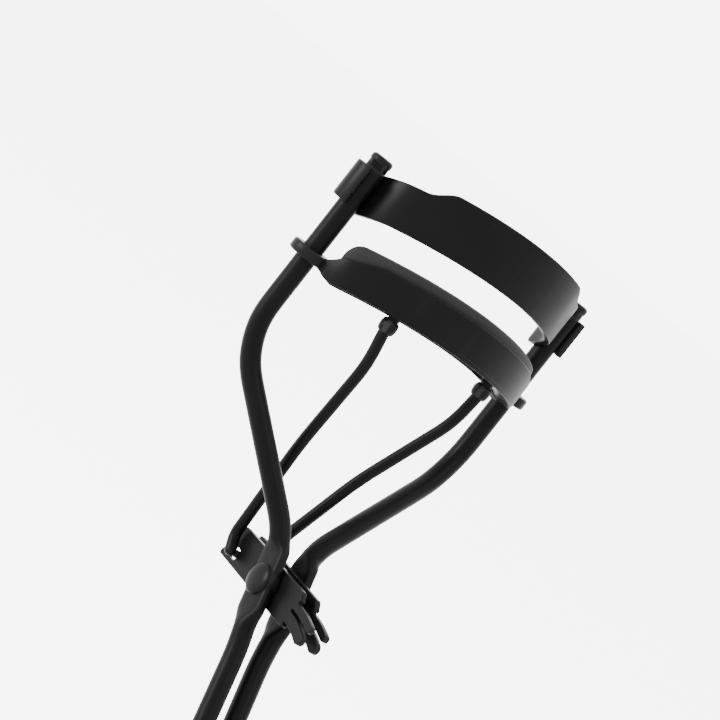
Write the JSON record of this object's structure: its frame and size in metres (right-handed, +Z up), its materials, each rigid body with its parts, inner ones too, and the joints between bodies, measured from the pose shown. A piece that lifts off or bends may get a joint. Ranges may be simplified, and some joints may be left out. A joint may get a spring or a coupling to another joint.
{
  "type": "eyelash curler",
  "caption": "Black wire eyelash curler with curved jaws, a rubber pad, a riveted rocking bracket, thin link rods and finger loops.",
  "frame": {"origin": "middle of the upper jaw's pressing edge, on the jaws' arc", "axes": "X across the jaws, +Z up along the two guides, -Y to the bulging front of the jaws, where the handles lean to"},
  "size_m": [0.061, 0.042, 0.1162],
  "materials": {
    "jaw_metal": "satin black",
    "wire_metal": "matte black",
    "bracket_metal": "satin black",
    "rivet_metal": "satin black",
    "pad_rubber": "matte"
  },
  "bodies": {
    "upper_jaw": {"upper_jaw": "jaw_metal"},
    "left_arm": {"left_arm": "wire_metal", "rivet_left": "rivet_metal"},
    "right_arm": {"right_arm": "wire_metal", "rivet_right": "rivet_metal"},
    "lower_jaw": {"lower_jaw": "jaw_metal", "pad": "pad_rubber"},
    "left_link": {"link_rod_left": "wire_metal", "link_collar_left": "rivet_metal"},
    "right_link": {"link_rod_right": "wire_metal", "link_collar_right": "rivet_metal"},
    "left_leaf": {"bracket_leaf_left": "bracket_metal"},
    "right_leaf": {"bracket_leaf_right": "bracket_metal"}
  },
  "joints": [
    {"name": "left_arm_swing", "type": "hinge", "parent": "upper_jaw", "child": "left_arm", "pos_m": [-0.022, 0.0116, -0.0002], "axis": [0, 0, -1], "range_deg": [-1.5, 2.1]},
    {"name": "right_arm_swing", "type": "hinge", "parent": "upper_jaw", "child": "right_arm", "pos_m": [0.022, 0.0116, -0.0002], "axis": [0, 0, 1], "range_deg": [-1.5, 2.1]},
    {"name": "jaw_slide", "type": "slide", "parent": "upper_jaw", "child": "lower_jaw", "axis": [0, 0, -1], "range_m": [-0.00401, 0.00561]},
    {"name": "left_link_swing", "type": "hinge", "parent": "lower_jaw", "child": "left_link", "pos_m": [-0.0102, 0.00203, -0.0112], "axis": [-1, 0, 0], "range_deg": [-1.5, 2.1]},
    {"name": "right_link_swing", "type": "hinge", "parent": "lower_jaw", "child": "right_link", "pos_m": [0.0102, 0.00203, -0.0112], "axis": [-1, 0, 0], "range_deg": [-1.5, 2.1]},
    {"name": "left_leaf_rock", "type": "hinge", "parent": "left_arm", "child": "left_leaf", "pos_m": [-0.002, -0.0025, -0.0533], "axis": [-1, 0, 0], "range_deg": [-21, 29]},
    {"name": "right_leaf_rock", "type": "hinge", "parent": "right_arm", "child": "right_leaf", "pos_m": [0.002, -0.0025, -0.0533], "axis": [-1, 0, 0], "range_deg": [-21, 29]}
  ],
  "couplings": [
    {"joint": "right_arm_swing", "follows": "left_arm_swing", "ratio": 1},
    {"joint": "jaw_slide", "follows": "left_arm_swing", "m_per_rad": 0.15279},
    {"joint": "left_link_swing", "follows": "left_arm_swing", "ratio": 1},
    {"joint": "right_link_swing", "follows": "left_arm_swing", "ratio": 1},
    {"joint": "left_leaf_rock", "follows": "left_arm_swing", "ratio": 13.6},
    {"joint": "right_leaf_rock", "follows": "left_arm_swing", "ratio": 13.6}
  ]
}
